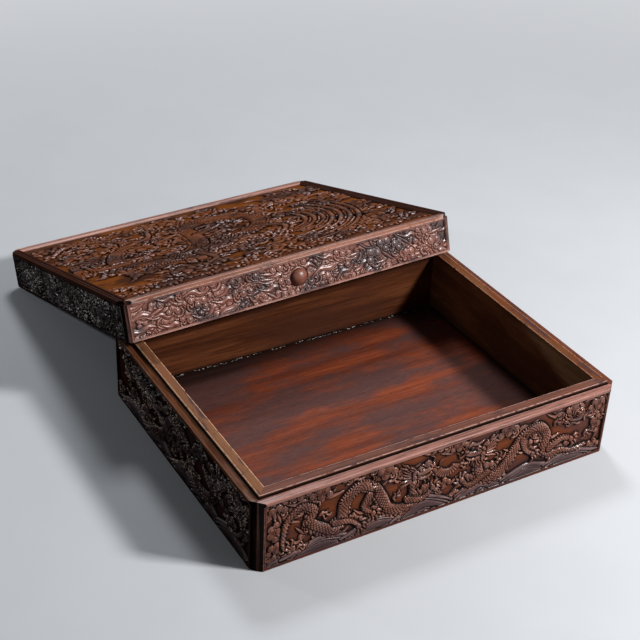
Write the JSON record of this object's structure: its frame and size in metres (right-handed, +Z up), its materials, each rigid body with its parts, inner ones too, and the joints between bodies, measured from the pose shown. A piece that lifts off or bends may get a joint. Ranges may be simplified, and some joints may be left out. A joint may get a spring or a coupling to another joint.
{
  "type": "ink stick and ink stone box",
  "caption": "Low rectangular hardwood writing box with canted corners, carved sides, a lining that stands proud as a lip, and a carved lift-off lid leaning on its rear rim.",
  "frame": {"origin": "middle of the box's flat underside, on the table", "axes": "+Z up, +X along the box's length, +Y towards the back, where the lid leans"},
  "size_m": [0.3155, 0.4414, 0.0998],
  "materials": {
    "carved_wood": "deeply carved dark rosewood, waxed, dark in the recesses and rubbed bright on the edges",
    "panel_wood": "carved orange-brown hardwood panel, waxed",
    "frame_wood": "waxed rosewood moulding with fine beads",
    "lining_wood": "planed red-brown hardwood, satin, straight grain",
    "floor_wood": "planed red hardwood board with dark streaks along the grain, satin",
    "inner_wood": "planed hardwood, bare, dull",
    "pearl_wood": "turned rosewood, waxed and handled smooth"
  },
  "bodies": {
    "box": {"box_back_lining": "lining_wood", "box_back_wall": "carved_wood", "box_floor_board": "floor_wood", "box_front_lining": "lining_wood", "box_front_wall": "carved_wood", "box_left_lining": "lining_wood", "box_left_wall": "carved_wood", "box_right_lining": "lining_wood", "box_right_wall": "carved_wood"},
    "lid": {"lid_back_apron": "carved_wood", "lid_back_rail": "frame_wood", "lid_front_apron": "carved_wood", "lid_front_rail": "frame_wood", "lid_left_apron": "carved_wood", "lid_left_batten": "inner_wood", "lid_left_rail": "frame_wood", "lid_panel": "panel_wood", "lid_pearl_boss": "pearl_wood", "lid_right_apron": "carved_wood", "lid_right_batten": "inner_wood", "lid_right_rail": "frame_wood"}
  },
  "joints": [
    {"name": "lid_lift", "type": "slide", "parent": "box", "child": "lid", "axis": [0, 0, 1], "range_m": [0, 0.15]}
  ]
}
